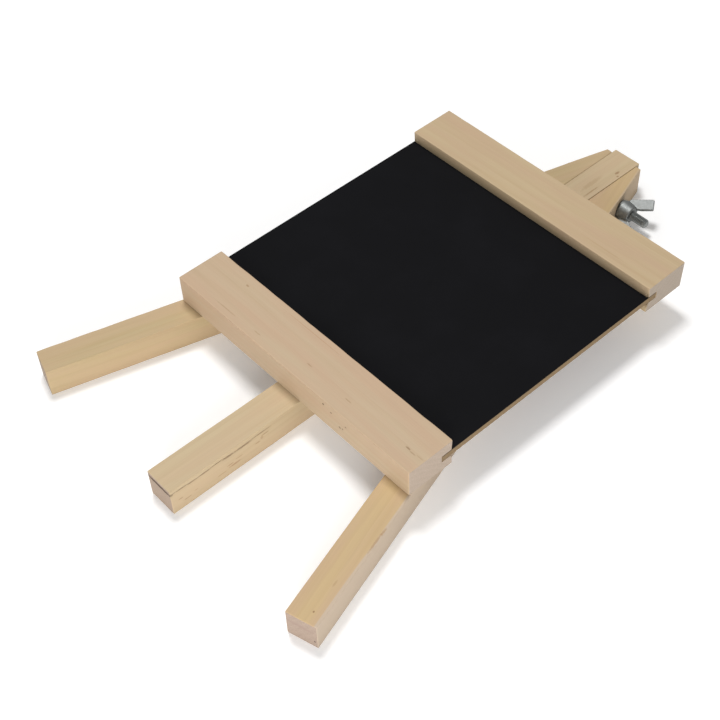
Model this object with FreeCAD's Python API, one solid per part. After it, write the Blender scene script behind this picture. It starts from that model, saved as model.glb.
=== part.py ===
import FreeCAD, Part
import math
import os

# Small folding table easel with a blackboard, lying folded on its back.
# Millimetres. +X is the easel's right seen from the front, +Y runs up the easel,
# +Z comes out of the front of the board. Z 0 is the plane of the legs' backs, and
# the origin is under the middle of the whole outline.

Vector = FreeCAD.Vector
X_AXIS = Vector(1, 0, 0)

# Overall
easel_length = 312.8            # from the side legs' lowest corners to the rear leg's top
crossbar_length = 160.0         # also the width of the board

# Legs, planed square strip
leg_depth = 16.0                # front to back
rear_leg_width = 16.2
side_leg_width = 15.2
side_leg_tip = 3.3              # width left at the top of a side leg, beside the rear leg
side_leg_drop = 2.8             # side legs' tops below the rear leg's top
rear_foot_rise = 1.1            # rear leg's foot above the side legs' lowest corners
leg_gap = 0.1                   # between the rear leg and each side leg at the top
leg_easing = 0.7                # radius of the sanded arrises

# Crossbars, grooved strip across the fronts of the side legs
crossbar_width = 26.0
crossbar_thickness = 16.0
crossbar_easing = 0.9
foot_to_crossbar = 75.4         # lowest corners up to the lower crossbar's lower edge
top_to_crossbar = 55.4          # rear leg's top down to the upper crossbar's upper edge
leg_past_corner = 0.5           # side leg's outer face past the lower crossbar's lower corner

# Board and the grooves that hold it
board_thickness = 3.5
board_easing = 0.25
groove_depth = 6.5
groove_front_lip = 6.1          # wood in front of the groove
board_face_play = 0.25          # clearance at each face of the board
board_edge_play = 0.5           # clearance between the board's edge and the groove's bottom

# Pivot: coach bolt from the left, washer and wing nut on the right
bolt_diameter = 5.0
top_to_bolt = 26.4              # rear leg's top down to the bolt's axis
bolt_end = 9.7                  # thread left past the wing nut's hub
bolt_chamfer = 0.8
thread_length = 26.0            # from the bolt's end
thread_depth = 0.49             # crests to core, for a pitch of 0.8
pivot_clearance = 0.06          # radial, rear leg on the bolt
leg_hole_clearance = 0.25       # radial, side legs around the bolt
head_rim = 4.25                 # bolt head past the shank, all round
head_height = 3.3
head_edge = 0.5
neck_extra = 0.5                # square neck across flats, more than the bolt's diameter
neck_length = 4.1
neck_clearance = 0.05
seat_proud = 0.45               # seat's floor outside the leg's slanting face, on the bolt's axis
seat_margin = 0.8               # seat around the washer or the bolt head
washer_rim = 2.5                # washer past the shank, all round
washer_thickness = 1.2
washer_clearance = 0.15
nut_clearance = 0.2             # radial, between the bolt's crests and the nut's thread roots
nut_gap = 0.02                  # between the washer and the nut

# Wing nut
hub_base_wall = 3.0
hub_top_wall = 2.1
hub_height = 6.5
wing_thickness = 2.2
wing_width = 5.9
wing_length = 12.4              # outer edge of a wing, from its foot to its tip
wing_free_length = 6.4          # inner edge of a wing, from where the two wings part to its tip
wing_flare = 32.0               # degrees between a wing and the bolt
wing_foot_height = 0.6          # foot of a wing above the hub's base
wing_foot_reach = 1.0           # foot of a wing past the rim of the hub's base
wing_corner = 0.7
wing_turn = 30.0                # degrees that the wings stand turned up from flat

# Countersunk screws through the side legs' backs into the crossbars
screw_diameter = 3.5
screw_length = 25.0
screw_head_rim = 1.65
screw_sink = 0.2                # head below the leg's back
screw_tip = 4.0
screw_core_share = 0.7          # core of the thread over its outside, for the pilot hole
screw_hole_clearance = 0.15
screw_edge_distance = 10.0      # from the crossbar's ungrooved edge
recess_span = 3.6
recess_width = 0.9
recess_depth = 1.4

# Levels and places that follow from the sizes above
bottom_y = -easel_length / 2
top_y = easel_length / 2
side_top_y = top_y - side_leg_drop
lower_bar_y = bottom_y + foot_to_crossbar
upper_bar_y = top_y - top_to_crossbar - crossbar_width
bolt_y = top_y - top_to_bolt
bolt_z = leg_depth / 2
bar_front_z = leg_depth + crossbar_thickness
inner_face_x = rear_leg_width / 2 + leg_gap
top_half_width = inner_face_x + side_leg_tip
corner_x = crossbar_length / 2 + leg_past_corner
splay = math.atan2(corner_x - top_half_width, side_top_y - lower_bar_y)
bolt_radius = bolt_diameter / 2
groove_height = board_thickness + 2 * board_face_play
groove_back_z = bar_front_z - groove_front_lip - groove_height
same_place = 0.01               # two points nearer than this are one


def outer_face_x(y):
    """Distance of a side leg's slanting outer face from the middle, at height y."""
    return top_half_width + (side_top_y - y) * math.tan(splay)


seat_x = outer_face_x(bolt_y) + seat_proud
nut_base_x = seat_x + washer_thickness + nut_gap


def eased_block(size_x, size_y, size_z, corner, radius):
    """A planed block with every arris sanded round."""
    block = Part.makeBox(size_x, size_y, size_z, corner)
    return block.makeFillet(radius, block.Edges)


def eased_plank(outline, depth, radius):
    """A plank of the given outline, from z 0 up, with every arris sanded round."""
    face = Part.Face(Part.makePolygon(outline + outline[:1]))
    plank = face.extrude(Vector(0, 0, depth))
    return plank.makeFillet(radius, plank.Edges)


def rod_along_x(radius, start_x, end_x):
    """A cylinder on the pivot's axis."""
    return Part.makeCylinder(radius, end_x - start_x, Vector(start_x, bolt_y, bolt_z), X_AXIS)


def mirrored(shape):
    """The same shape on the easel's other side."""
    return shape.mirror(Vector(0, 0, 0), X_AXIS)


def screw_places():
    """Centres of the screws on one side: on the leg's middle line, clear of the grooves."""
    heights = [lower_bar_y + screw_edge_distance,
               upper_bar_y + crossbar_width - screw_edge_distance]
    half_width = side_leg_width / 2 / math.cos(splay)
    return [Vector(outer_face_x(y) - half_width, y, 0) for y in heights]


def all_screw_places():
    """Centres of all four screws."""
    right = screw_places()
    return right + [Vector(-place.x, place.y, 0) for place in right]


def screw_hole(place):
    """Clearance hole and countersink in a leg's back for one screw."""
    radius = screw_diameter / 2 + screw_hole_clearance
    head_radius = screw_diameter / 2 + screw_head_rim + screw_hole_clearance
    hole = Part.makeCylinder(radius, leg_depth, place)
    mouth = Part.makeCylinder(head_radius, screw_sink, place)
    cone_base = place + Vector(0, 0, screw_sink)
    cone = Part.makeCone(head_radius, radius, screw_head_rim, cone_base)
    return hole.fuse([mouth, cone])


def side_leg_blank():
    """Right side leg without its holes: splayed, foot cut square, top bevelled to the rear leg."""
    sine = math.sin(splay)
    cosine = math.cos(splay)
    foot_y = bottom_y + side_leg_width * sine
    foot_outer = Vector(outer_face_x(foot_y), foot_y, 0)
    foot_inner = foot_outer + Vector(-cosine, -sine, 0) * side_leg_width
    bevel_x = outer_face_x(side_top_y) - side_leg_width / cosine
    bevel_y = side_top_y - (inner_face_x - bevel_x) / math.tan(splay)
    outline = [foot_outer,
               Vector(top_half_width, side_top_y, 0),
               Vector(inner_face_x, side_top_y, 0),
               Vector(inner_face_x, bevel_y, 0),
               foot_inner]
    return eased_plank(outline, leg_depth, leg_easing)


def side_leg_cuts(seat_radius):
    """Bolt hole, seat square to the bolt, and screw holes of the right side leg."""
    reach = seat_x + side_leg_width
    cuts = [rod_along_x(bolt_radius + leg_hole_clearance, 0, reach),
            rod_along_x(seat_radius, seat_x, reach)]
    return cuts + [screw_hole(place) for place in screw_places()]


def right_leg():
    seat_radius = bolt_radius + washer_rim + seat_margin
    return side_leg_blank().cut(side_leg_cuts(seat_radius))


def left_leg():
    """Mirror of the right leg, with a wider seat and a square pocket for the bolt's head."""
    seat_radius = bolt_radius + head_rim + seat_margin
    leg = mirrored(side_leg_blank().cut(side_leg_cuts(seat_radius)))
    flats = bolt_diameter + neck_extra + 2 * neck_clearance
    corner = Vector(-seat_x, bolt_y - flats / 2, bolt_z - flats / 2)
    return leg.cut(Part.makeBox(neck_length + neck_clearance, flats, flats, corner))


def rear_leg():
    foot_y = bottom_y + rear_foot_rise
    corner = Vector(-rear_leg_width / 2, foot_y, 0)
    leg = eased_block(rear_leg_width, top_y - foot_y, leg_depth, corner, leg_easing)
    return leg.cut(rod_along_x(bolt_radius + pivot_clearance, -rear_leg_width, rear_leg_width))


def crossbar(edge_y, groove_y):
    """A crossbar whose lower edge is at edge_y, with a groove from groove_y up."""
    corner = Vector(-crossbar_length / 2, edge_y, leg_depth)
    bar = eased_block(crossbar_length, crossbar_width, crossbar_thickness, corner,
                      crossbar_easing)
    groove_corner = Vector(-crossbar_length, groove_y, groove_back_z)
    groove = Part.makeBox(2 * crossbar_length, groove_depth, groove_height, groove_corner)
    pilot_radius = screw_core_share * screw_diameter / 2
    pilots = [Part.makeCylinder(pilot_radius, screw_sink + screw_length, place)
              for place in all_screw_places()]
    return bar.cut([groove] + pilots)


def lower_crossbar():
    return crossbar(lower_bar_y, lower_bar_y + crossbar_width - groove_depth)


def upper_crossbar():
    return crossbar(upper_bar_y, upper_bar_y)


def blackboard():
    """Painted hardboard panel, standing in both grooves, flush with the crossbars' ends."""
    in_groove = groove_depth - board_edge_play
    low_y = lower_bar_y + crossbar_width - in_groove
    high_y = upper_bar_y + in_groove
    corner = Vector(-crossbar_length / 2, low_y, groove_back_z + board_face_play)
    return eased_block(crossbar_length, high_y - low_y, board_thickness, corner, board_easing)


def bolt_head():
    """Low domed head, its flat side on the left leg's seat."""
    radius = bolt_radius + head_rim
    dome_height = head_height - head_edge
    dome_radius = (radius ** 2 + dome_height ** 2) / (2 * dome_height)
    blank = Part.makeCylinder(radius, head_height, Vector(-seat_x, bolt_y, bolt_z), -X_AXIS)
    dome_centre = Vector(dome_radius - seat_x - head_height, bolt_y, bolt_z)
    return blank.common(Part.makeSphere(dome_radius, dome_centre))


def pivot_bolt():
    """Coach bolt: domed head, square neck sunk in the left leg, plain shank, threaded end.
    The thread is a plain rod at its core size and the nut's bore is at its outside size,
    so that the space between them is where the teeth of both would be."""
    end_x = nut_base_x + hub_height + bolt_end
    thread_x = end_x - thread_length
    core_radius = bolt_radius - thread_depth
    flats = bolt_diameter + neck_extra
    neck = Part.makeBox(neck_length, flats, flats,
                        Vector(-seat_x, bolt_y - flats / 2, bolt_z - flats / 2))
    shank = rod_along_x(bolt_radius, -seat_x, thread_x)
    thread = rod_along_x(core_radius, thread_x, end_x - bolt_chamfer)
    tip = Part.makeCone(core_radius, core_radius - bolt_chamfer, bolt_chamfer,
                        Vector(end_x - bolt_chamfer, bolt_y, bolt_z), X_AXIS)
    return bolt_head().fuse([neck, shank, thread, tip]).removeSplitter()


def nut_washer():
    ring = rod_along_x(bolt_radius + washer_rim, seat_x, seat_x + washer_thickness)
    hole = rod_along_x(bolt_radius + washer_clearance, 0, 2 * seat_x)
    return ring.cut(hole)


def wing():
    """One flat wing in the plane of the nut's axis (x) and a radius (y), base of the nut at x 0.
    Its root is sunk to the middle of the hub's wall."""
    flare = math.radians(wing_flare)
    along = Vector(math.cos(flare), math.sin(flare), 0)
    across = Vector(-math.sin(flare), math.cos(flare), 0)
    foot = Vector(wing_foot_height, bolt_radius + hub_base_wall + wing_foot_reach, 0)
    outer_tip = foot + along * wing_length
    inner_tip = outer_tip - across * wing_width
    parting = inner_tip - along * wing_free_length
    outline = [foot,
               outer_tip,
               inner_tip,
               parting,
               Vector(hub_height, bolt_radius + hub_top_wall / 2, 0),
               Vector(wing_foot_height, bolt_radius + hub_base_wall / 2, 0)]
    plate = Part.Face(Part.makePolygon(outline + outline[:1]))
    plate = plate.extrude(Vector(0, 0, wing_thickness))
    plate.translate(Vector(0, 0, -wing_thickness / 2))
    tip_edges = [edge for edge in plate.Edges
                 if edge.CenterOfMass.distanceToPoint(outer_tip) < same_place
                 or edge.CenterOfMass.distanceToPoint(inner_tip) < same_place]
    return plate.makeFillet(wing_corner, tip_edges)


def wing_nut():
    """Hub with two flared wings, threaded on the bolt against the washer."""
    hub = Part.makeCone(bolt_radius + hub_base_wall, bolt_radius + hub_top_wall, hub_height,
                        Vector(0, 0, 0), X_AXIS)
    first = wing()
    second = first.copy()
    second.rotate(Vector(0, 0, 0), X_AXIS, 180)
    nut = hub.fuse([first, second])
    bore = Part.makeCylinder(bolt_radius + nut_clearance, 2 * hub_height,
                             Vector(-hub_height / 2, 0, 0), X_AXIS)
    nut = nut.cut(bore).removeSplitter()
    nut.rotate(Vector(0, 0, 0), X_AXIS, wing_turn)
    nut.translate(Vector(nut_base_x, bolt_y, bolt_z))
    return nut


def screw(place):
    """Countersunk wood screw, driven along +Z, with a cross recess."""
    radius = screw_diameter / 2
    head = Part.makeCone(radius + screw_head_rim, radius, screw_head_rim,
                         place + Vector(0, 0, screw_sink))
    shank = Part.makeCylinder(radius, screw_length - screw_tip,
                              place + Vector(0, 0, screw_sink))
    tip = Part.makeCone(radius, radius / 4, screw_tip,
                        place + Vector(0, 0, screw_sink + screw_length - screw_tip))
    body = head.fuse([shank, tip])
    slots = [Part.makeBox(recess_span, recess_width, recess_depth,
                          place + Vector(-recess_span / 2, -recess_width / 2, screw_sink)),
             Part.makeBox(recess_width, recess_span, recess_depth,
                          place + Vector(-recess_width / 2, -recess_span / 2, screw_sink))]
    return body.cut(slots).removeSplitter()


def crossbar_screws():
    return Part.makeCompound([screw(place) for place in all_screw_places()])


def export(name, shape):
    """Writes one node, and prints its solids and volume."""
    shape.exportStep("parts/%s.step" % name)
    print("%-16s %d solid(s) %9.1f mm3 valid %s"
          % (name, len(shape.Solids), shape.Volume, shape.isValid()))


os.makedirs("parts", exist_ok=True)
nodes = [left_leg, right_leg, rear_leg, lower_crossbar, upper_crossbar, blackboard,
         pivot_bolt, nut_washer, wing_nut, crossbar_screws]
for node in nodes:
    export(node.__name__, node())
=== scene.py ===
import math
import bmesh
import bpy
from mathutils import Matrix, Vector, noise


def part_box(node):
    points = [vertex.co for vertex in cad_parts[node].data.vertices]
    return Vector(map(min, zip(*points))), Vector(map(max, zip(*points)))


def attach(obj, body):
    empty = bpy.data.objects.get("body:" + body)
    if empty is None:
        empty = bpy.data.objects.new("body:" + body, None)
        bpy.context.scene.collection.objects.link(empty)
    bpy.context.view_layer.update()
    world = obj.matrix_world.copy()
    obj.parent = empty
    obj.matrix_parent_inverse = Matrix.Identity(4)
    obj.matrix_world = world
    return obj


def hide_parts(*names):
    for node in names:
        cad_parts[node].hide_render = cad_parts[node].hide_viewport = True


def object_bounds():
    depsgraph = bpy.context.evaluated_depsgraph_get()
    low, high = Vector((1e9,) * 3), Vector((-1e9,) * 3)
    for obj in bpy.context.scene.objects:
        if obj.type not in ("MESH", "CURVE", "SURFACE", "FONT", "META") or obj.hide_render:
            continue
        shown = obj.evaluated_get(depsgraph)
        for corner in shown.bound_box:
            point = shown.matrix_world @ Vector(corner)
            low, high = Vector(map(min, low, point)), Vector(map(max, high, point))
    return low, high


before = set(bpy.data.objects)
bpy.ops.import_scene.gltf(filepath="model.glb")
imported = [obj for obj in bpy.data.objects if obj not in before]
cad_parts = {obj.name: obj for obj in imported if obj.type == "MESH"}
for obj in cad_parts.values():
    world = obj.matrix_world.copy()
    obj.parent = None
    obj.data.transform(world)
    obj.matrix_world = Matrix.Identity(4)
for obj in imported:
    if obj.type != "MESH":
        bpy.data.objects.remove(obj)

# A small folding table easel with a blackboard, lying folded on its back.
# Metres. +X is the easel's right along the bolt, +Y is up the easel, +Z comes out of the board.

mm = 0.001
cadBounds = [list(corner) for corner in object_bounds()]
print("frame loaded:", len(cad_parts), "nodes")


def linear(hexColour):
    # sRGB hex to the linear colour that the shaders work in
    levels = [int(hexColour[place:place + 2], 16) / 255 for place in (1, 3, 5)]
    curve = [level / 12.92 if level <= 0.04045 else ((level + 0.055) / 1.055) ** 2.4 for level in levels]
    return (*curve, 1.0)


def addNode(tree, kind, settings={}, inputs={}):
    # settings are the node's own options, and inputs are values or the sockets that feed it
    node = tree.nodes.new(kind)
    for name, value in settings.items():
        setattr(node, name, value)
    for key, value in inputs.items():
        if isinstance(value, bpy.types.NodeSocket):
            tree.links.new(value, node.inputs[key])
        else:
            node.inputs[key].default_value = value
    return node


def newMaterial(name):
    material = bpy.data.materials.new(name)
    material.use_nodes = True
    material.node_tree.nodes.clear()
    return material, material.node_tree


def finishMaterial(tree, surface):
    addNode(tree, "ShaderNodeOutputMaterial", inputs={"Surface": surface.outputs["BSDF"]})


def makePiece(name, shape, node, body, material):
    # turns a bmesh into a piece that stands for a CAD node and moves with its body
    mesh = bpy.data.meshes.new(name)
    shape.to_mesh(mesh)
    shape.free()
    piece = bpy.data.objects.new(name, mesh)
    bpy.context.scene.collection.objects.link(piece)
    mesh.materials.append(material)
    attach(piece, body)
    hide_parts(node)
    print("made", name, len(mesh.polygons), "faces")
    return piece


def softenShading(piece, degrees):
    mesh = piece.data
    mesh.shade_smooth()
    mesh.set_sharp_from_angle(angle=math.radians(degrees))
    weighted = piece.modifiers.new("flat faces stay flat", "WEIGHTED_NORMAL")
    weighted.keep_sharp = True


# Every strip is cut from the shape that the frame holds. tone is the planed face, late the
# darker summer growth, flush the pinker patches and end the sawn end grain. pith is where the
# tree's middle would lie across and through the strip, in mm, so it sets how the rings run.
# slope is how many degrees the grain runs off the strip's line, and ringShow how strong the rings
# are. crisp is the share of the frame's easing that the arrises keep, and wane how far the front
# one on the waneSide is worn. A mark is its place and its size in mm, its colour and its strength.
pineStrips = {
    "left_leg": {
        "body": "frame", "slot": "pine_legs",
        "tone": "#BDA881", "late": "#A78A5F", "flush": "#C0A684", "end": "#A9937E",
        "pith": (-62, -31), "ringWidth": 3.4, "slope": 0.9, "ringShow": 0.16,
        "crisp": 0.3, "wane": 0.4, "waneSide": -1,
        "marks": [((-72.0, -118.0, 16.0), (5.0, 0.5, 0.5), "#9A7B55", 0.3)],
    },
    "right_leg": {
        "body": "frame", "slot": "pine_legs",
        "tone": "#C4AA80", "late": "#A98A62", "flush": "#C2A585", "end": "#A99484",
        "pith": (58, 44), "ringWidth": 3.0, "slope": -1.1, "ringShow": 0.1,
        "crisp": 0.3, "wane": 1.5, "waneSide": 1,
        # painted light: the outer side is drawn paler, as if lit from that side, depth mm deep with a
        # border that wavers like sapwood's, and fades between two heights
        "paintedSideLight": {"tone": "#C1AF9B", "depth": 1.1, "waver": 2.2, "fades": (20, 80)},
        "marks": [
            ((94.9, -147.9, 16.0), (0.6, 0.5, 0.5), "#7A5230", 0.7),
            ((100.0, -152.6, 4.1), (0.55, 0.55, 0.55), "#33261A", 0.95),
            ((87.6, -107.5, 16.0), (7.0, 0.6, 0.6), "#A37B4C", 0.5),
            ((86.2, -101.6, 16.0), (2.6, 0.7, 0.7), "#A37B4C", 0.45),
            ((93.0, -154.6, 10.4), (0.8, 8.5, 1.3), "#9C8478", 0.55),
            ((90.9, -133.0, 16.0), (2.2, 0.5, 0.5), "#A3835A", 0.4),
        ],
    },
    "rear_leg": {
        "body": "rear_leg", "slot": "pine_legs",
        "tone": "#C5B18F", "late": "#AC8E68", "flush": "#C4AC8C", "end": "#AC9683",
        "pith": (29, -38), "ringWidth": 2.8, "slope": 1.3, "ringShow": 0.16,
        "crisp": 0.25, "wane": 0.25, "waneSide": 1,
        "marks": [
            ((4.8, 142.2, 16.0), (1.8, 0.8, 0.8), "#8A6440", 0.65),
            ((6.8, 140.3, 16.0), (1.0, 0.6, 0.6), "#8A6440", 0.6),
            ((5.0, 121.5, 16.0), (7.0, 0.5, 0.5), "#94704A", 0.55),
            ((1.0, 126.0, 16.0), (9.0, 1.6, 1.6), "#A07F58", 0.3),
            ((8.1, -104.1, 10.0), (1.0, 0.4, 1.3), "#9E7856", 0.4),
            ((8.1, -102.2, 11.2), (2.6, 0.4, 0.4), "#8F6A48", 0.6),
            ((8.1, -106.8, 8.4), (1.8, 0.4, 0.4), "#9E7856", 0.6),
            ((8.1, -120.2, 5.1), (4.2, 0.4, 0.7), "#9E7856", 0.6),
            ((8.1, -122.5, 6.6), (2.2, 0.4, 0.4), "#9E7856", 0.6),
            ((8.1, -117.6, 7.6), (2.6, 0.4, 0.35), "#9E7856", 0.5),
            ((8.1, -127.4, 4.2), (3.4, 0.4, 0.4), "#A5805C", 0.5),
            ((8.1, -147.0, 4.6), (2.8, 0.4, 0.4), "#8F6A48", 0.5),
            ((8.1, -150.4, 7.3), (1.6, 0.4, 0.4), "#8F6A48", 0.55),
            ((8.1, -142.0, 6.0), (1.4, 0.4, 0.35), "#9E7856", 0.4),
            # the check across the foot's end: a dark band, partly the torn fibres' own colour, partly
            # painted shade of the crack
            ((0.4, -155.3, 13.3), (2.4, 11.0, 1.2), "#463220", 0.9),
        ],
    },
    "lower_crossbar": {
        "body": "frame", "slot": "pine_crossbars",
        "tone": "#C1AB8E", "late": "#AC8F6C", "flush": "#C0A488", "end": "#B5A392",
        "pith": (-34, -52), "ringWidth": 3.2, "slope": 0.5, "ringShow": 0.15,
        "crisp": 0.35, "wane": 0.6, "waneSide": -1,
        "marks": [
            ((25.0, -81.0, 29.2), (0.7, 0.7, 0.6), "#4E3520", 0.9),
            ((30.2, -81.0, 27.7), (0.6, 0.6, 0.5), "#4E3520", 0.9),
            ((35.6, -81.0, 22.4), (1.0, 0.7, 0.7), "#5C3D26", 0.85),
            ((39.8, -81.0, 26.1), (0.7, 0.6, 0.5), "#5C3D26", 0.8),
            ((37.6, -81.0, 22.8), (0.6, 0.5, 0.5), "#5C3D26", 0.75),
            ((70.0, -72.0, 32.0), (1.6, 0.5, 0.5), "#7A5A3A", 0.6),
            ((73.2, -72.5, 32.0), (2.4, 0.35, 0.35), "#8A6A48", 0.45),
            ((77.2, -71.9, 32.0), (2.2, 0.3, 0.3), "#94734E", 0.3),
            ((-52.6, -60.7, 32.0), (1.2, 0.6, 0.6), "#94704E", 0.55),
            ((-48.0, -77.4, 32.0), (9.0, 0.35, 0.35), "#9C7C58", 0.4),
            ((-26.0, -76.6, 32.0), (3.0, 0.35, 0.35), "#9C7C58", 0.4),
            ((5.5, -71.9, 32.0), (2.2, 0.35, 0.35), "#8F6E4A", 0.5),
            ((33.0, -73.1, 32.0), (2.4, 0.35, 0.35), "#94734E", 0.45),
            ((-8.0, -58.0, 32.0), (22.0, 0.3, 0.3), "#A87E5C", 0.35),
        ],
    },
    "upper_crossbar": {
        "body": "frame", "slot": "pine_crossbars",
        "tone": "#C0AA88", "late": "#AA8D68", "flush": "#BEA385", "end": "#AFA090",
        "pith": (41, -47), "ringWidth": 3.6, "slope": -0.6, "ringShow": 0.13,
        "crisp": 0.28, "wane": 0.35, "waneSide": -1,
        "marks": [((46.0, 80.0, 32.0), (16.0, 0.4, 0.4), "#A98560", 0.3)],
    },
}

pineWork = {
    "station": 3.0 * mm,        # distance between the rows of points along a strip
    "arris": 1.1 * mm,          # how near to a corner line counts as its arris
    "planeWave": 0.035 * mm,    # how far planing leaves a face from flat
    "planeRipples": 45,         # waves of it to a metre
    "waneLength": 9.0 * mm,     # length of the nicks along an arris
    "waneElsewhere": 0.3,       # how much the arrises that aren't the outer one are worn
    "nickShare": 0.2,           # a higher share leaves fewer plain stretches between the nicks
    "smallNicks": 0.3,          # depth of the short nicks, beside the long ones
    "smallNicksCloser": 3.1,    # how many times closer they follow each other
    "flat": 0.05 * mm,          # how near to a broad face's plane counts as on it
}

pineGrain = {
    "waver": (0.12, 1.0, 1.0),      # rings waver over a length eight times their width
    "fibres": (0.045, 1.9, 1.9),    # 0.5 mm wide and 22 mm long
    "streaks": (0.011, 0.3, 0.3),   # 3 mm wide and 90 mm long
    "patches": 0.11,                # 9 mm across
    "pores": 1.7,                   # 0.6 mm across
    # the third share is how strongly the paler, painted light on a strip's outer side shows
    "streakShow": 0.22, "flushShow": 0.85, "sideLightShow": 0.9,
    "sideLightEdge": 0.35,                # half the width of the painted side light's border, in mm
    "sideLightFaded": 0.5,                # share of the painted side light left above the fade
    "wobble": 0.9,                  # how uneven the marks' outlines are
    "relief": 0.12 * mm,
}
waveStep = 0.314                    # the wave texture makes one ring or band each 0.314 / scale


def alongStrip(node):
    # the way the grain runs: the long side, or square to the slanting upright face
    low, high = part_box(node)
    # upright faces that slant across the easel, without the ends and anything under 1 cm2
    slanting = [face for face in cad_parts[node].data.polygons
                if abs(face.normal.z) < 0.01 and 0.1 < abs(face.normal.y) < 0.9 and face.area > 1e-4]
    if slanting:
        across = max(slanting, key=lambda face: face.area).normal
        along = Vector((-across.y, across.x, 0)).normalized()
    elif high.x - low.x > high.y - low.y:
        along = Vector((1, 0, 0))
    else:
        along = Vector((0, 1, 0))
    return along if along.y > 0 or along.x > 0.99 else -along


def cutStrip(node, settings):
    # the frame's shape with rows of points along it, uneven arrises and faintly wavy faces
    along = alongStrip(node)
    across = Vector((along.y, -along.x, 0))
    strip = bmesh.new()
    strip.from_mesh(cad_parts[node].data)
    # triangles are joined into whole faces, which are then cut across at every station
    bmesh.ops.remove_doubles(strip, verts=strip.verts, dist=0.0005 * mm)
    bmesh.ops.dissolve_limit(strip, angle_limit=math.radians(0.5), verts=strip.verts, edges=strip.edges)
    runs = [along.dot(vertex.co) for vertex in strip.verts]
    start, stop = min(runs), max(runs)
    rows = int((stop - start) / pineWork["station"])
    for row in range(1, rows):
        place = along * (start + (stop - start) * row / rows)
        bmesh.ops.bisect_plane(strip, geom=strip.verts[:] + strip.edges[:] + strip.faces[:],
                               dist=0.001 * mm, plane_co=place, plane_no=along)
    sides = [across.dot(vertex.co) for vertex in strip.verts]
    sideLines = (min(sides), max(sides))
    depths = [vertex.co.z for vertex in strip.verts]
    depthLines = (min(depths), max(depths))
    seed = Vector((sum(map(ord, node)), 0, 0))      # each strip has its own nicks and waves
    for vertex in strip.verts:
        side = across.dot(vertex.co)
        sideLine = min(sideLines, key=lambda line: abs(line - side))
        depthLine = min(depthLines, key=lambda line: abs(line - vertex.co.z))
        offSide, offDepth = side - sideLine, vertex.co.z - depthLine
        run = along.dot(vertex.co)
        if abs(offSide) < pineWork["arris"] and abs(offDepth) < pineWork["arris"]:
            outer = depthLine == depthLines[1] and sideLine == sideLines[settings["waneSide"] > 0]
            grow = settings["wane"] if outer else pineWork["waneElsewhere"]
            # the side and the depth give each arris nicks of its own
            longRun = run / pineWork["waneLength"]
            shortRun = run * pineWork["smallNicksCloser"] / pineWork["waneLength"]
            nick = noise.noise(seed + Vector((longRun, side * 90, depthLine * 400)))
            nick += pineWork["smallNicks"] * noise.noise(seed + Vector((shortRun, 7, depthLine)))
            size = settings["crisp"] + grow * max(0.0, pineWork["nickShare"] + nick)
            vertex.co += (across * offSide + Vector((0, 0, offDepth))) * (size - 1)
        else:
            wave = noise.noise(seed + vertex.co * pineWork["planeRipples"]) * pineWork["planeWave"]
            if abs(offDepth) < pineWork["flat"]:
                vertex.co += Vector((0, 0, -math.copysign(wave, offDepth)))
    return strip


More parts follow.
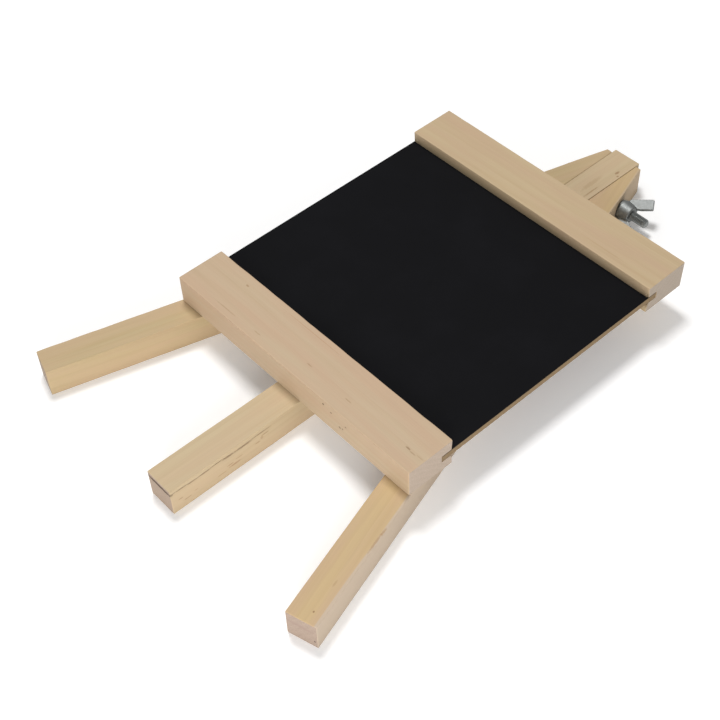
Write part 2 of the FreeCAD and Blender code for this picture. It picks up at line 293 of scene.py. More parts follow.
def makePine(node, settings):
    # Planed pine without varnish: pale cream with faint straight growth lines, pinker sawn ends
    # that drink the light, and a dull, slightly fibrous surface.
    along = alongStrip(node)
    across = Vector((along.y, -along.x, 0))
    low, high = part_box(node)
    middle = (low + high) / 2 / mm
    turn = math.atan2(along.y, along.x)
    sidePith, depthPith = settings["pith"]
    material, tree = newMaterial("planed pine, " + node.replace("_", " "))
    place = addNode(tree, "ShaderNodeTexCoord")
    # millimetres with x along the grain, a degree or so off the strip's own line, round the pith
    grainTurn = (0, math.radians(0.6 * settings["slope"]), math.radians(settings["slope"]) - turn)
    centred = addNode(tree, "ShaderNodeMapping", inputs={
        "Vector": place.outputs["Object"], "Location": -middle, "Scale": (1 / mm,) * 3})
    grain = addNode(tree, "ShaderNodeMapping", inputs={
        "Vector": centred.outputs[0], "Rotation": grainTurn, "Location": (0, -sidePith, -depthPith)})
    stretched = addNode(tree, "ShaderNodeVectorMath", {"operation": "MULTIPLY"}, {
        0: grain.outputs[0], 1: pineGrain["waver"]})
    rings = addNode(tree, "ShaderNodeTexWave", {
        "wave_type": "RINGS", "rings_direction": "X", "wave_profile": "SAW"}, {
        "Vector": stretched.outputs[0], "Scale": waveStep / settings["ringWidth"], "Distortion": 3.2,
        "Detail": 3.0, "Detail Scale": 0.8, "Detail Roughness": 0.6})
    lateWood = addNode(tree, "ShaderNodeMapRange", {"interpolation_type": "SMOOTHSTEP"}, {
        "Value": rings.outputs["Fac"], "From Min": 0.25, "From Max": 1.0})
    fibrePlace = addNode(tree, "ShaderNodeVectorMath", {"operation": "MULTIPLY"}, {
        0: grain.outputs[0], 1: pineGrain["fibres"]})
    fibres = addNode(tree, "ShaderNodeTexNoise", {}, {
        "Vector": fibrePlace.outputs[0], "Scale": 1.0, "Detail": 5.0, "Roughness": 0.62})
    streakPlace = addNode(tree, "ShaderNodeVectorMath", {"operation": "MULTIPLY"}, {
        0: grain.outputs[0], 1: pineGrain["streaks"]})
    streaks = addNode(tree, "ShaderNodeTexNoise", {}, {
        "Vector": streakPlace.outputs[0], "Scale": 1.0, "Detail": 3.0, "Roughness": 0.55})
    patches = addNode(tree, "ShaderNodeTexNoise", {}, {
        "Vector": stretched.outputs[0], "Scale": pineGrain["patches"], "Detail": 3.0})
    ringAmount = addNode(tree, "ShaderNodeMath", {"operation": "MULTIPLY"}, {
        0: lateWood.outputs[0], 1: settings["ringShow"]})
    face = addNode(tree, "ShaderNodeMix", {"data_type": "RGBA"}, {
        0: ringAmount.outputs[0], 6: linear(settings["tone"]), 7: linear(settings["late"])})
    streakAmount = addNode(tree, "ShaderNodeMapRange", {}, {
        "Value": streaks.outputs["Fac"], "From Min": 0.5, "From Max": 0.76,
        "To Max": pineGrain["streakShow"]})
    streaked = addNode(tree, "ShaderNodeMix", {"data_type": "RGBA"}, {
        0: streakAmount.outputs[0], 6: face.outputs[2], 7: linear(settings["late"])})
    flushAmount = addNode(tree, "ShaderNodeMapRange", {}, {
        "Value": patches.outputs["Fac"], "From Min": 0.4, "From Max": 0.64,
        "To Max": pineGrain["flushShow"]})
    flushed = addNode(tree, "ShaderNodeMix", {"data_type": "RGBA"}, {
        0: flushAmount.outputs[0], 6: streaked.outputs[2], 7: linear(settings["flush"])})
    fibreShade = addNode(tree, "ShaderNodeMapRange", {}, {
        "Value": fibres.outputs["Fac"], "From Min": 0.3, "From Max": 0.7, "To Min": 0.965, "To Max": 1.03})
    lengthwise = addNode(tree, "ShaderNodeVectorMath", {"operation": "SCALE"}, {
        0: flushed.outputs[2], "Scale": fibreShade.outputs[0]})
    # sawn ends: where the surface faces along the grain
    facing = addNode(tree, "ShaderNodeVectorMath", {"operation": "DOT_PRODUCT"}, {
        0: place.outputs["Normal"], 1: along})
    endOn = addNode(tree, "ShaderNodeMath", {"operation": "ABSOLUTE"}, {0: facing.outputs["Value"]})
    isEnd = addNode(tree, "ShaderNodeMapRange", {"interpolation_type": "SMOOTHSTEP"}, {
        "Value": endOn.outputs[0], "From Min": 0.55, "From Max": 0.9})
    pores = addNode(tree, "ShaderNodeTexNoise", {}, {
        "Vector": centred.outputs[0], "Scale": pineGrain["pores"], "Detail": 4.0, "Roughness": 0.7})
    endRings = addNode(tree, "ShaderNodeMapRange", {}, {
        "Value": rings.outputs["Fac"], "From Min": 0.2, "From Max": 1.0, "To Min": 1.01, "To Max": 0.96})
    endPores = addNode(tree, "ShaderNodeMapRange", {}, {
        "Value": pores.outputs["Fac"], "From Min": 0.3, "From Max": 0.7, "To Min": 0.84, "To Max": 1.1})
    endShade = addNode(tree, "ShaderNodeMath", {"operation": "MULTIPLY"}, {
        0: endRings.outputs[0], 1: endPores.outputs[0]})
    endColour = addNode(tree, "ShaderNodeVectorMath", {"operation": "SCALE"}, {
        0: linear(settings["end"])[:3], "Scale": endShade.outputs[0]})
    colour = addNode(tree, "ShaderNodeMix", {"data_type": "RGBA"}, {
        0: isEnd.outputs[0], 6: lengthwise.outputs[0], 7: endColour.outputs[0]})
    if "paintedSideLight" in settings:
        # painted light: a paler tone along the outer side, as if lit from that side, with an uneven border
        # like sapwood's, weaker up the leg
        paintedSideLight = settings["paintedSideLight"]
        outerLine = max(across.dot(vertex.co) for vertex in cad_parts[node].data.vertices) / mm
        inward = addNode(tree, "ShaderNodeVectorMath", {"operation": "DOT_PRODUCT"}, {
            0: centred.outputs[0], 1: across})
        border = addNode(tree, "ShaderNodeMath", {"operation": "MULTIPLY_ADD"}, {
            0: patches.outputs["Fac"], 1: paintedSideLight["waver"], 2: inward.outputs["Value"]})
        line = outerLine - across.dot(middle) + paintedSideLight["waver"] / 2 - paintedSideLight["depth"]
        inSideLight = addNode(tree, "ShaderNodeMapRange", {"interpolation_type": "SMOOTHSTEP"}, {
            "Value": border.outputs[0], "From Min": line - pineGrain["sideLightEdge"],
            "From Max": line + pineGrain["sideLightEdge"], "To Max": pineGrain["sideLightShow"]})
        run = addNode(tree, "ShaderNodeSeparateXYZ", inputs={0: centred.outputs[0]})
        below = addNode(tree, "ShaderNodeMapRange", {"interpolation_type": "SMOOTHSTEP"}, {
            "Value": run.outputs["Y"], "From Min": paintedSideLight["fades"][0] - middle.y,
            "From Max": paintedSideLight["fades"][1] - middle.y, "To Min": 1.0, "To Max": pineGrain["sideLightFaded"]})
        onSides = addNode(tree, "ShaderNodeMath", {"operation": "SUBTRACT"}, {0: 1.0, 1: isEnd.outputs[0]})
        sideLightOnSides = addNode(tree, "ShaderNodeMath", {"operation": "MULTIPLY"}, {
            0: inSideLight.outputs[0], 1: onSides.outputs[0]})
        sideLightAmount = addNode(tree, "ShaderNodeMath", {"operation": "MULTIPLY"}, {
            0: sideLightOnSides.outputs[0], 1: below.outputs[0]})
        colour = addNode(tree, "ShaderNodeMix", {"data_type": "RGBA"}, {
            0: sideLightAmount.outputs[0], 6: colour.outputs[2], 7: linear(paintedSideLight["tone"])})
    # small knots, pin specks, resin streaks and darker bands along the cracks, partly painted shade,
    # each at its own place, sized along the grain, across it and through the strip
    wobble = addNode(tree, "ShaderNodeTexNoise", {}, {
        "Vector": centred.outputs[0], "Scale": 0.9, "Detail": 2.0})
    for spot, size, hexColour, strength in settings["marks"]:
        offset = addNode(tree, "ShaderNodeVectorMath", {"operation": "SUBTRACT"}, {
            0: centred.outputs[0], 1: Vector(spot) - middle})
        turned = addNode(tree, "ShaderNodeMapping", inputs={
            "Vector": offset.outputs[0], "Rotation": (0, 0, -turn)})
        sized = addNode(tree, "ShaderNodeVectorMath", {"operation": "DIVIDE"}, {
            0: turned.outputs[0], 1: size})
        reach = addNode(tree, "ShaderNodeVectorMath", {"operation": "LENGTH"}, {0: sized.outputs[0]})
        uneven = addNode(tree, "ShaderNodeMath", {"operation": "MULTIPLY_ADD"}, {
            0: wobble.outputs["Fac"], 1: pineGrain["wobble"], 2: reach.outputs["Value"]})
        amount = addNode(tree, "ShaderNodeMapRange", {"interpolation_type": "SMOOTHSTEP"}, {
            "Value": uneven.outputs[0], "From Min": 1.55, "From Max": 0.95, "To Max": strength})
        colour = addNode(tree, "ShaderNodeMix", {"data_type": "RGBA"}, {
            0: amount.outputs[0], 6: colour.outputs[2], 7: linear(hexColour)})
    # planing leaves the fibres a few hundredths of a millimetre proud
    height = addNode(tree, "ShaderNodeMath", {"operation": "MULTIPLY_ADD"}, {
        0: lateWood.outputs[0], 1: 0.35, 2: fibres.outputs["Fac"]})
    endHeight = addNode(tree, "ShaderNodeMix", {}, {
        0: isEnd.outputs[0], 2: height.outputs[0], 3: pores.outputs["Fac"]})
    bump = addNode(tree, "ShaderNodeBump", {}, {
        "Height": endHeight.outputs[0], "Strength": 0.35, "Distance": pineGrain["relief"]})
    rough = addNode(tree, "ShaderNodeMapRange", {}, {
        "Value": fibres.outputs["Fac"], "From Min": 0.3, "From Max": 0.7, "To Min": 0.58, "To Max": 0.74})
    surface = addNode(tree, "ShaderNodeBsdfPrincipled", inputs={
        "Base Color": colour.outputs[2], "Roughness": rough.outputs[0], "IOR": 1.5,
        "Specular IOR Level": 0.3, "Normal": bump.outputs[0]})
    finishMaterial(tree, surface)
    return material


splitCut = {
    # The route is mm along the easel and mm above the leg's back.
    "route": [(-155.6, 13.8), (-152, 13.9), (-146, 13.4), (-140, 13.0), (-133, 13.5), (-126.5, 13.7),
              (-119.4, 12.3), (-109.6, 13.4), (-97.9, 13.6)],
    "depth": 2.2 * mm,
    "height": 0.34 * mm,
    "checkRise": 13.3 * mm,
    "checkDepth": 2.4 * mm,
    "checkHeight": 0.75 * mm,
    "checkWaver": 0.3 * mm,
    "checkSteps": 14,
    "past": 0.3 * mm,            # the cut starts this far outside the wood
    "blunt": 0.3,                # below 1 it keeps its width nearly to its ends
    "tearWaver": 0.22,           # mm that the split strays off its route
    # the split's darker colour: partly the torn fibres, partly painted shade of the crack
    "stainAndShade": "#6A4A30", "stainAndShadeShow": 0.5,
}


def sliver(points, inwards, widest, depth):
    # a jagged wedge along points, widest at the middle of its length and closed at its bottom
    wedge = bmesh.new()
    rings = []
    count = len(points)
    for number, point in enumerate(points):
        share = number / (count - 1)
        # the ends stay a little open, and the lips have teeth about 2.5 mm long
        swell = math.sin(math.pi * min(max(share, 0.04), 0.96)) ** splitCut["blunt"]
        jag = 0.75 + 0.5 * noise.noise(point * 400 + Vector((3, 0, 0)))
        half = Vector((0, 0, widest * swell * jag / 2))
        mouth = point - inwards * splitCut["past"]
        rings.append([wedge.verts.new(mouth + half),
                      wedge.verts.new(point + inwards * depth * (0.5 + 0.5 * swell)),
                      wedge.verts.new(mouth - half)])
    for first, second in zip(rings, rings[1:]):
        for corner in range(3):
            following = (corner + 1) % 3
            wedge.faces.new((first[corner], second[corner], second[following], first[following]))
    wedge.faces.new(rings[0][::-1])
    wedge.faces.new(rings[-1])
    bmesh.ops.recalc_face_normals(wedge, faces=wedge.faces)
    return wedge


def carve(piece, cutter):
    # takes the cutter's shape out of the piece for good
    mesh = bpy.data.meshes.new("cutter")
    cutter.to_mesh(mesh)
    cutter.free()
    tool = bpy.data.objects.new("cutter", mesh)
    bpy.context.scene.collection.objects.link(tool)
    boolean = piece.modifiers.new("carve", "BOOLEAN")
    boolean.operation = "DIFFERENCE"
    boolean.solver = "EXACT"
    boolean.object = tool
    bpy.context.view_layer.update()
    carved = bpy.data.meshes.new_from_object(piece.evaluated_get(bpy.context.evaluated_depsgraph_get()))
    piece.modifiers.remove(boolean)
    piece.data = carved
    bpy.data.objects.remove(tool)


def steppedRoute(route, steps):
    # the route with points between its own, each pushed off line a little as a tear in wood is
    points = []
    for (startRun, startRise), (stopRun, stopRise) in zip(route, route[1:]):
        for step in range(steps):
            share = step / steps
            run = startRun + (stopRun - startRun) * share
            rise = startRise + (stopRise - startRise) * share
            points.append((run, rise + splitCut["tearWaver"] * noise.noise(Vector((run * 0.9, 5, 0)))))
    return points + [route[-1]]


def tearStainAndShade():
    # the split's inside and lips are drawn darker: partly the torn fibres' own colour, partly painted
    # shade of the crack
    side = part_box("rear_leg")[1].x / mm
    stainAndShade = []
    for (startRun, startRise), (stopRun, stopRise) in zip(splitCut["route"], splitCut["route"][1:]):
        spot = (side, (startRun + stopRun) / 2, (startRise + stopRise) / 2)
        size = (0.62 * (stopRun - startRun), 2.4, 0.3 + 0.4 * abs(stopRise - startRise))
        stainAndShade.append((spot, size, splitCut["stainAndShade"], splitCut["stainAndShadeShow"]))
    return stainAndShade


pineStrips["rear_leg"]["marks"] += tearStainAndShade()
for node, settings in pineStrips.items():
    material = makePine(node, settings)
    piece = makePiece(node + "_wood", cutStrip(node, settings), node, settings["body"],
                      material)
    if node == "rear_leg":
        low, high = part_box(node)
        tear = [Vector((high.x, run * mm, rise * mm)) for run, rise in steppedRoute(splitCut["route"], 6)]
        carve(piece, sliver(tear, Vector((-1, 0, 0)), splitCut["height"], splitCut["depth"]))
        check = []
        for step in range(splitCut["checkSteps"] + 1):
            across = low.x + (high.x - low.x) * (0.04 + 0.92 * step / splitCut["checkSteps"])
            rise = splitCut["checkRise"] + splitCut["checkWaver"] * noise.noise(Vector((step, 1, 2)))
            check.append(Vector((across, low.y, rise)))
        carve(piece, sliver(check, Vector((0, 1, 0)), splitCut["checkHeight"], splitCut["checkDepth"]))
    softenShading(piece, 40)


boardFinish = {
    "paint": "#131315", "dust": "#18181B",
    "edge": "#A08A6C", "edgeDark": "#735F46", "back": "#6E5238", "backDark": "#523A26",
    "screenPitch": 1.6,          # mm between the wires that pressed the back
    "rolled": 1.1,               # the roller's grain, 0.9 mm across
    "dusty": 0.035,              # clouds of chalk dust, 30 mm across
    "dustShow": 0.5,
    "fibres": (0.5, 0.5, 3.2),   # 2 mm along the board and 0.3 mm through it
    "relief": 0.15 * mm,
}


def makeHardboard():
    # Hardboard under matte black chalkboard paint: the front is an even soot black with a fine
    # rolled grain, the cut edges are fibrous brown and the back has its pressed screen pattern.
    material, tree = newMaterial("painted hardboard")
    place = addNode(tree, "ShaderNodeTexCoord")
    inMm = addNode(tree, "ShaderNodeVectorMath", {"operation": "SCALE"}, {
        0: place.outputs["Object"], "Scale": 1 / mm})
    facing = addNode(tree, "ShaderNodeSeparateXYZ", inputs={0: place.outputs["Normal"]})
    isFront = addNode(tree, "ShaderNodeMapRange", {}, {
        "Value": facing.outputs["Z"], "From Min": 0.3, "From Max": 0.6})
    isBack = addNode(tree, "ShaderNodeMapRange", {}, {
        "Value": facing.outputs["Z"], "From Min": -0.6, "From Max": -0.8})
    rolled = addNode(tree, "ShaderNodeTexNoise", {}, {
        "Vector": inMm.outputs[0], "Scale": boardFinish["rolled"], "Detail": 4.0, "Roughness": 0.65})
    dusty = addNode(tree, "ShaderNodeTexNoise", {}, {
        "Vector": inMm.outputs[0], "Scale": boardFinish["dusty"], "Detail": 5.0, "Roughness": 0.6})
    dustAmount = addNode(tree, "ShaderNodeMapRange", {}, {
        "Value": dusty.outputs["Fac"], "From Min": 0.45, "From Max": 0.75,
        "To Max": boardFinish["dustShow"]})
    paint = addNode(tree, "ShaderNodeMix", {"data_type": "RGBA"}, {
        0: dustAmount.outputs[0], 6: linear(boardFinish["paint"]), 7: linear(boardFinish["dust"])})
    layers = addNode(tree, "ShaderNodeVectorMath", {"operation": "MULTIPLY"}, {
        0: inMm.outputs[0], 1: boardFinish["fibres"]})
    fibres = addNode(tree, "ShaderNodeTexNoise", {}, {
        "Vector": layers.outputs[0], "Scale": 1.0, "Detail": 4.0, "Roughness": 0.7})
    edge = addNode(tree, "ShaderNodeMix", {"data_type": "RGBA"}, {
        0: fibres.outputs["Fac"], 6: linear(boardFinish["edgeDark"]), 7: linear(boardFinish["edge"])})
    wires = addNode(tree, "ShaderNodeTexWave", {"wave_type": "BANDS", "bands_direction": "X"}, {
        "Vector": inMm.outputs[0], "Scale": waveStep / boardFinish["screenPitch"], "Distortion": 0.3})
    crossWires = addNode(tree, "ShaderNodeTexWave", {"wave_type": "BANDS", "bands_direction": "Y"}, {
        "Vector": inMm.outputs[0], "Scale": waveStep / boardFinish["screenPitch"], "Distortion": 0.3})
    screen = addNode(tree, "ShaderNodeMath", {"operation": "MAXIMUM"}, {
        0: wires.outputs["Fac"], 1: crossWires.outputs["Fac"]})
    back = addNode(tree, "ShaderNodeMix", {"data_type": "RGBA"}, {
        0: screen.outputs[0], 6: linear(boardFinish["backDark"]), 7: linear(boardFinish["back"])})
    rawBoard = addNode(tree, "ShaderNodeMix", {"data_type": "RGBA"}, {
        0: isBack.outputs[0], 6: edge.outputs[2], 7: back.outputs[2]})
    colour = addNode(tree, "ShaderNodeMix", {"data_type": "RGBA"}, {
        0: isFront.outputs[0], 6: rawBoard.outputs[2], 7: paint.outputs[2]})
    rawHeight = addNode(tree, "ShaderNodeMix", {}, {
        0: isBack.outputs[0], 2: fibres.outputs["Fac"], 3: screen.outputs[0]})
    frontHeight = addNode(tree, "ShaderNodeMath", {"operation": "MULTIPLY"}, {
        0: rolled.outputs["Fac"], 1: 0.3})
    height = addNode(tree, "ShaderNodeMix", {}, {
        0: isFront.outputs[0], 2: rawHeight.outputs[0], 3: frontHeight.outputs[0]})
    bump = addNode(tree, "ShaderNodeBump", {}, {
        "Height": height.outputs[0], "Strength": 0.5, "Distance": boardFinish["relief"]})
    surface = addNode(tree, "ShaderNodeBsdfPrincipled", inputs={
        "Base Color": colour.outputs[2], "Roughness": 0.7, "IOR": 1.5, "Specular IOR Level": 0.04,
        "Normal": bump.outputs[0]})
    finishMaterial(tree, surface)
    return material


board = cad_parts["blackboard"]
board.data.materials.clear()
board.data.materials.append(makeHardboard())
print("board painted")


zincFinish = {
    "bright": "#A2A4A2", "dull": "#7E8180", "roughLow": 0.45, "roughHigh": 0.68,
    "clouds": 0.45,              # 2 mm across
    "grit": 3.2,                 # plating grain is far finer, drawn 0.3 mm across so that it shows
    "relief": 0.05 * mm,
}


def makeZinc():
    # Bright zinc plate on steel: cool light grey with a soft broken shine, duller in patches.
    material, tree = newMaterial("bright zinc plated steel")
    place = addNode(tree, "ShaderNodeTexCoord")
    inMm = addNode(tree, "ShaderNodeVectorMath", {"operation": "SCALE"}, {
        0: place.outputs["Object"], "Scale": 1 / mm})
    clouds = addNode(tree, "ShaderNodeTexNoise", {}, {
        "Vector": inMm.outputs[0], "Scale": zincFinish["clouds"], "Detail": 4.0, "Roughness": 0.6})
    grit = addNode(tree, "ShaderNodeTexNoise", {}, {
        "Vector": inMm.outputs[0], "Scale": zincFinish["grit"], "Detail": 3.0, "Roughness": 0.7})
    colour = addNode(tree, "ShaderNodeMix", {"data_type": "RGBA"}, {
        0: clouds.outputs["Fac"], 6: linear(zincFinish["dull"]), 7: linear(zincFinish["bright"])})
    rough = addNode(tree, "ShaderNodeMapRange", {}, {
        "Value": grit.outputs["Fac"], "From Min": 0.3, "From Max": 0.7,
        "To Min": zincFinish["roughLow"], "To Max": zincFinish["roughHigh"]})
    bump = addNode(tree, "ShaderNodeBump", {}, {
        "Height": grit.outputs["Fac"], "Strength": 0.25, "Distance": zincFinish["relief"]})
    surface = addNode(tree, "ShaderNodeBsdfPrincipled", inputs={
        "Base Color": colour.outputs[2], "Metallic": 1.0, "Roughness": rough.outputs[0],
        "Normal": bump.outputs[0]})
    finishMaterial(tree, surface)
    return material


zinc = makeZinc()
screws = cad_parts["crossbar_screws"]
screws.data.materials.clear()
screws.data.materials.append(zinc)


boltWork = {
    "shank": 2.5 * mm,           # radius over the thread's crests
    "pitch": 0.8 * mm,
    "threadDepth": 0.46 * mm,
    "threadLength": 26 * mm,     # from the bolt's end
    "chamfer": 0.8 * mm,
    "neckFlats": 5.5 * mm,       # square neck across its flats
    "headHeight": 3.3 * mm,
    "headEdge": 0.5 * mm,
    "neckLength": 4.1 * mm,
    "neckSlope": 0.2 * mm,       # where the square neck runs into the round shank
    "crown": 0.02 * mm,          # the small flat that closes the dome
    "segments": 36,
    "headRings": 12,
    "ringStep": 0.1 * mm,
}
boltLow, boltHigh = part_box("pivot_bolt")
boltAxis = (boltLow + boltHigh) / 2
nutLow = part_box("wing_nut")[0]
washerLow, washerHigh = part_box("nut_washer")


def closedRings(rings):
    # a closed skin over rings of points, with one flat face at each end
    skin = bmesh.new()
    rows = [[skin.verts.new(point) for point in ring] for ring in rings]
    for first, second in zip(rows, rows[1:]):
        count = len(first)
        for place in range(count):
            following = (place + 1) % count
            skin.faces.new((first[place], first[following], second[following], second[place]))
    for row, backwards in ((rows[0], True), (rows[-1], False)):
        skin.faces.new(row[::-1] if backwards else row)
    bmesh.ops.recalc_face_normals(skin, faces=skin.faces)
    return skin


def fullTurn(segments):
    # the angles of points spaced evenly round a circle
    return [2 * math.pi * step / segments for step in range(segments)]


roundedEdge = [math.pi / 2 * step / 4 for step in range(5)]    # angles along a quarter round


def onAxis(run, radius, angle):
    # a point at a radius and an angle about the bolt's axis
    return Vector((run, boltAxis.y + radius * math.cos(angle), boltAxis.z + radius * math.sin(angle)))


def headRadius(run):
    # radius of the domed head at a distance from its crown
    work = boltWork
    full = (boltHigh.z - boltLow.z) / 2
    dome = work["headHeight"] - work["headEdge"]
    ball = (full ** 2 + dome ** 2) / (2 * dome)
    return min(full, math.sqrt(max(0.0, ball ** 2 - (ball - run) ** 2)))


def boltRings():
    work = boltWork
    turns = fullTurn(work["segments"])
    seat = boltLow.x + work["headHeight"]
    rings = []
    for step in range(work["headRings"] + 1):
        # close together at the crown, where the dome is flattest
        bend = math.pi / 2 * (step + 0.25) / (work["headRings"] + 0.25)
        run = work["headHeight"] * (1 - math.cos(bend)) if step else work["crown"]
        run = min(run, work["headHeight"])
        rings.append([onAxis(boltLow.x + run, headRadius(run), turn) for turn in turns])
    half = work["neckFlats"] / 2
    for run in (seat, seat + work["neckLength"]):
        rings.append([onAxis(run, half / max(abs(math.cos(turn)), abs(math.sin(turn))), turn)
                      for turn in turns])
    threadStart = boltHigh.x - work["threadLength"]
    for run in (seat + work["neckLength"] + work["neckSlope"], threadStart):
        rings.append([onAxis(run, work["shank"], turn) for turn in turns])
    count = int(work["threadLength"] / work["ringStep"])
    for step in range(1, count + 1):
        run = threadStart + work["threadLength"] * step / count
        left = boltHigh.x - run
        chamfered = work["shank"] - max(0.0, work["chamfer"] - left)
        depth = work["threadDepth"] * min(1.0, (run - threadStart) / work["pitch"])
        ring = []
        for turn in turns:
            # flat crests and roots, with slanting flanks between them
            phase = (run / work["pitch"] - turn / (2 * math.pi)) % 1
            tooth = min(1.0, max(0.0, (abs(2 * phase - 1) - 0.12) / 0.76))
            ring.append(onAxis(run, min(chamfered, work["shank"] - depth * tooth), turn))
        rings.append(ring)
    return rings


bolt = makePiece("pivot_bolt_steel", closedRings(boltRings()), "pivot_bolt", "frame", zinc)
softenShading(bolt, 45)


washerWork = {
    "bore": 2.65 * mm,           # radius of the hole
    "edge": 0.22 * mm,           # rounding of the punched face's edges
    "rim": 0.05 * mm,            # break of the other face's outer edge
    "segments": 48,
}


def washerShape():
    # punched washer: one face's edges are rounded by the punch
    work = washerWork
    outer = (washerHigh.y - washerLow.y) / 2
    front, back, edge = washerHigh.x, washerLow.x, work["edge"]
    profile = [(back, work["bore"]), (back, outer - work["rim"]), (back + work["rim"], outer)]
    for turn in roundedEdge:
        profile.append((front - edge + edge * math.sin(turn), outer - edge + edge * math.cos(turn)))
    for turn in roundedEdge:
        profile.append((front - edge + edge * math.cos(turn), work["bore"] + edge - edge * math.sin(turn)))
    ring = bmesh.new()
    rows = [[ring.verts.new(onAxis(run, radius, turn)) for run, radius in profile]
            for turn in fullTurn(work["segments"])]
    for number, row in enumerate(rows):
        other = rows[(number + 1) % len(rows)]
        for place in range(len(row)):
            following = (place + 1) % len(row)
            ring.faces.new((row[place], row[following], other[following], other[place]))
    bmesh.ops.recalc_face_normals(ring, faces=ring.faces)
    return ring


washer = makePiece("nut_washer_steel", washerShape(), "nut_washer", "washer", zinc)
softenShading(washer, 40)


nutWork = {
    "baseWall": 3.0 * mm, "topWall": 2.1 * mm, "hubHeight": 6.5 * mm, "hubRound": 0.5 * mm,
    "wingLength": 12.4 * mm, "wingFree": 6.4 * mm, "wingWidth": 5.9 * mm,
    "wingThick": 2.2 * mm, "wingThin": 1.8 * mm,
    # flare is the angle between a wing and the bolt, and turn how far round the bolt the wings stand
    "flare": math.radians(32), "turn": math.radians(30),
    "footHeight": 0.6 * mm, "footReach": 1.0 * mm, "cornerRound": 0.6 * mm,
    "rim": 0.15 * mm,            # break of the hub's lower edge
    "sunk": 0.2 * mm,            # a wing's root starts this far below the hub's top
    "bore": 2.56 * mm, "hubSegments": 48, "boreSegments": 40,
    "voxel": 0.2 * mm,
    "tumbling": 6,               # rounds of smoothing that soften the casting's edges
}


def nutWing(half):
    # one wing: a flat strip with squared, slightly rounded corners, standing off the hub
    work = nutWork
    along = Vector((math.cos(work["flare"]), math.sin(work["flare"]), 0))
    across = Vector((-along.y, along.x, 0))
    foot = Vector((work["footHeight"], boltWork["shank"] + work["baseWall"] + work["footReach"], 0))
    outerTip = foot + along * work["wingLength"]
    innerTip = outerTip - across * work["wingWidth"]
    parting = innerTip - along * work["wingFree"]
    topWall = boltWork["shank"] + work["topWall"] / 2
    baseWall = boltWork["shank"] + work["baseWall"] / 2
    rounded = []
    for tip, before, after in ((outerTip, foot, innerTip), (innerTip, outerTip, parting)):
        back, on = (before - tip).normalized(), (after - tip).normalized()
        radius = work["cornerRound"]
        for step in range(5):
            share = step / 4
            rounded.append(tip + back * radius * (1 - share) ** 2 + on * radius * share ** 2)
    outline = [foot] + rounded + [parting, Vector((work["hubHeight"] - work["sunk"], topWall, 0)),
                                  Vector((work["footHeight"], baseWall, 0))]
    spin = Matrix.Rotation(work["turn"] + half * math.pi, 3, "X")
    plate = bmesh.new()
    sides = []
    for face in (-1, 1):
        row = []
        for point in outline:
            share = min(1.0, max(0.0, (point.y - topWall) / (outerTip.y - topWall)))
            thick = work["wingThick"] + (work["wingThin"] - work["wingThick"]) * share
            place = spin @ Vector((point.x, point.y, face * thick / 2))
            row.append(plate.verts.new(place + Vector((nutLow.x, boltAxis.y, boltAxis.z))))
        sides.append(row)
    plate.faces.new(sides[0])
    plate.faces.new(sides[1][::-1])
    for place in range(len(outline)):
        following = (place + 1) % len(outline)
        plate.faces.new((sides[0][following], sides[0][place], sides[1][place], sides[1][following]))
    bmesh.ops.recalc_face_normals(plate, faces=plate.faces)
    return plate


def nutHub():
    work = nutWork
    base = boltWork["shank"] + work["baseWall"]
    top = boltWork["shank"] + work["topWall"]
    edge = work["hubRound"]
    profile = [(0, base - work["rim"]), (work["rim"], base)]
    for turn in roundedEdge:
        run = work["hubHeight"] - edge + edge * math.sin(turn)
        profile.append((run, top - edge + edge * math.cos(turn)))
    return closedRings([[onAxis(nutLow.x + run, radius, turn) for turn in fullTurn(work["hubSegments"])]
                        for run, radius in profile])


def makeWingNut():
    # hub and wings are joined into one skin, as the real one is cast in one piece
    shape = nutHub()
    for half in (0, 1):
        wing = nutWing(half)
        mesh = bpy.data.meshes.new("wing")
        wing.to_mesh(mesh)
        wing.free()
        shape.from_mesh(mesh)
    piece = makePiece("wing_nut_steel", shape, "wing_nut", "wing_nut", zinc)
    remesh = piece.modifiers.new("cast", "REMESH")
    remesh.mode = "VOXEL"
    remesh.voxel_size = nutWork["voxel"]
    smooth = piece.modifiers.new("tumbled", "SMOOTH")
    smooth.iterations = nutWork["tumbling"]
    smooth.factor = 0.5
    bpy.context.view_layer.update()
    cast = bpy.data.meshes.new_from_object(piece.evaluated_get(bpy.context.evaluated_depsgraph_get()))
    piece.modifiers.clear()
    piece.data = cast
    below, above = nutLow.x - 1 * mm, nutLow.x + nutWork["hubHeight"] + 1 * mm
    bore = closedRings([[onAxis(run, nutWork["bore"], turn) for turn in fullTurn(nutWork["boreSegments"])]
                        for run in (below, above)])
    carve(piece, bore)
    piece.data.materials.clear()
    piece.data.materials.append(zinc)
    softenShading(piece, 50)
    print("wing nut cast:", len(piece.data.polygons), "faces")


makeWingNut()


studio = {
    "floor": "#FAFAFA", "floorSize": 6.0, "glow": 0.14,
    "sky": 0.32,
    # the key stands high, for close shadows, and the fill low, for the upright sides
    "key": {"from": (-0.4, 0.12, 1.42), "size": 0.42, "power": 13.2},
    "fill": {"from": (0.6, -0.66, 0.3), "size": 0.45, "power": 5.0},
}


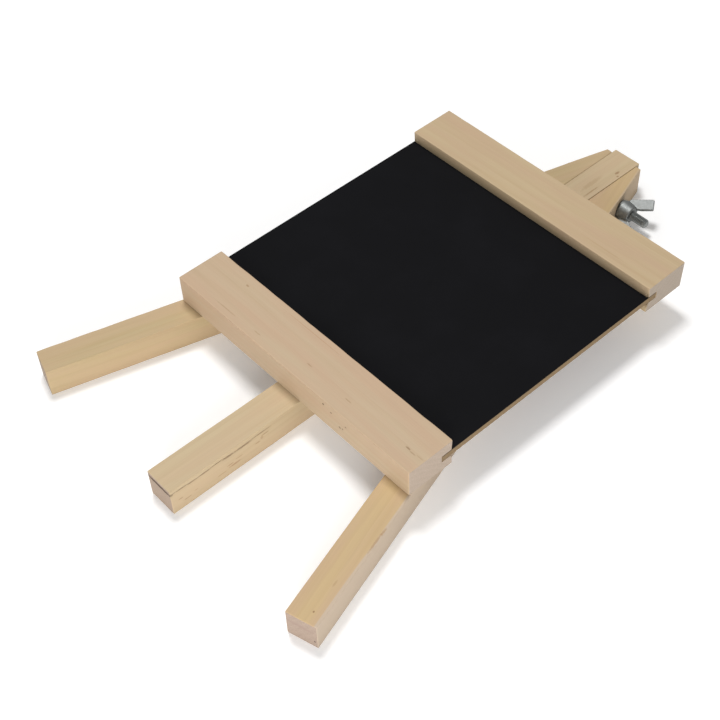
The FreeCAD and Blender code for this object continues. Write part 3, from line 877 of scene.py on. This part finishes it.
def makeFloor():
    # a light table: white acrylic, lit a little from below, so that only close shadows show
    material, tree = newMaterial("opal acrylic")
    place = addNode(tree, "ShaderNodeTexCoord")
    # a faint tooth about 1 mm across
    tooth = addNode(tree, "ShaderNodeTexNoise", {}, {
        "Vector": place.outputs["Object"], "Scale": 900.0, "Detail": 2.0})
    rough = addNode(tree, "ShaderNodeMapRange", {}, {
        "Value": tooth.outputs["Fac"], "To Min": 0.85, "To Max": 0.95})
    surface = addNode(tree, "ShaderNodeBsdfPrincipled", inputs={
        "Base Color": linear(studio["floor"]), "Roughness": rough.outputs[0], "Specular IOR Level": 0.1,
        "Emission Color": (1, 1, 1, 1), "Emission Strength": studio["glow"]})
    finishMaterial(tree, surface)
    sheet = bmesh.new()
    bmesh.ops.create_grid(sheet, x_segments=4, y_segments=4, size=studio["floorSize"] / 2)
    mesh = bpy.data.meshes.new("floor")
    sheet.to_mesh(mesh)
    sheet.free()
    mesh.materials.append(material)
    floor = bpy.data.objects.new("floor", mesh)
    floor.location = (0, 0, cadBounds[0][2] - 0.05 * mm)
    bpy.context.scene.collection.objects.link(floor)


def addSoftbox(name, settings):
    # a round soft lamp aimed at the origin, which is on the table under the easel's middle
    lamp = bpy.data.lights.new(name, "AREA")
    lamp.shape = "DISK"
    lamp.size = settings["size"]
    lamp.energy = settings["power"]
    holder = bpy.data.objects.new(name, lamp)
    holder.location = settings["from"]
    holder.rotation_euler = (-holder.location).to_track_quat("-Z", "Y").to_euler()
    bpy.context.scene.collection.objects.link(holder)


def addSky():
    world = bpy.data.worlds.new("studio")
    world.use_nodes = True
    world.node_tree.nodes["Background"].inputs["Color"].default_value = (1, 1, 1, 1)
    world.node_tree.nodes["Background"].inputs["Strength"].default_value = studio["sky"]
    bpy.context.scene.world = world


view = {
    # where the camera looks, how far off it stands, and its bearing, height and tilt in degrees
    "aim": (8.33 * mm, -44.33 * mm, 16 * mm),
    "distance": 623.33 * mm,
    "azimuth": 49.53, "elevation": 48.9, "roll": 2.29,
    "lens": 66.713, "sensor": 36,
}


def addCamera():
    swing, rise = math.radians(view["azimuth"]), math.radians(view["elevation"])
    look = Vector((-math.sin(swing) * math.cos(rise), math.cos(swing) * math.cos(rise), -math.sin(rise)))
    level = look.cross(Vector((0, 0, 1))).normalized()
    roll = math.radians(view["roll"])
    up = level.cross(look) * math.cos(roll) + level * math.sin(roll)
    side = look.cross(up)
    camera = bpy.data.objects.new("camera", bpy.data.cameras.new("camera"))
    camera.data.lens = view["lens"]
    camera.data.sensor_width = view["sensor"]
    turn = Matrix((side, up, -look)).transposed().to_4x4()
    camera.matrix_world = Matrix.Translation(Vector(view["aim"]) - look * view["distance"]) @ turn
    bpy.context.scene.collection.objects.link(camera)
    bpy.context.scene.camera = camera


makeFloor()
for lamp in ("key", "fill"):
    addSoftbox(lamp, studio[lamp])
addSky()
addCamera()
bpy.context.scene.view_settings.view_transform = "Standard"
print("studio and camera set")
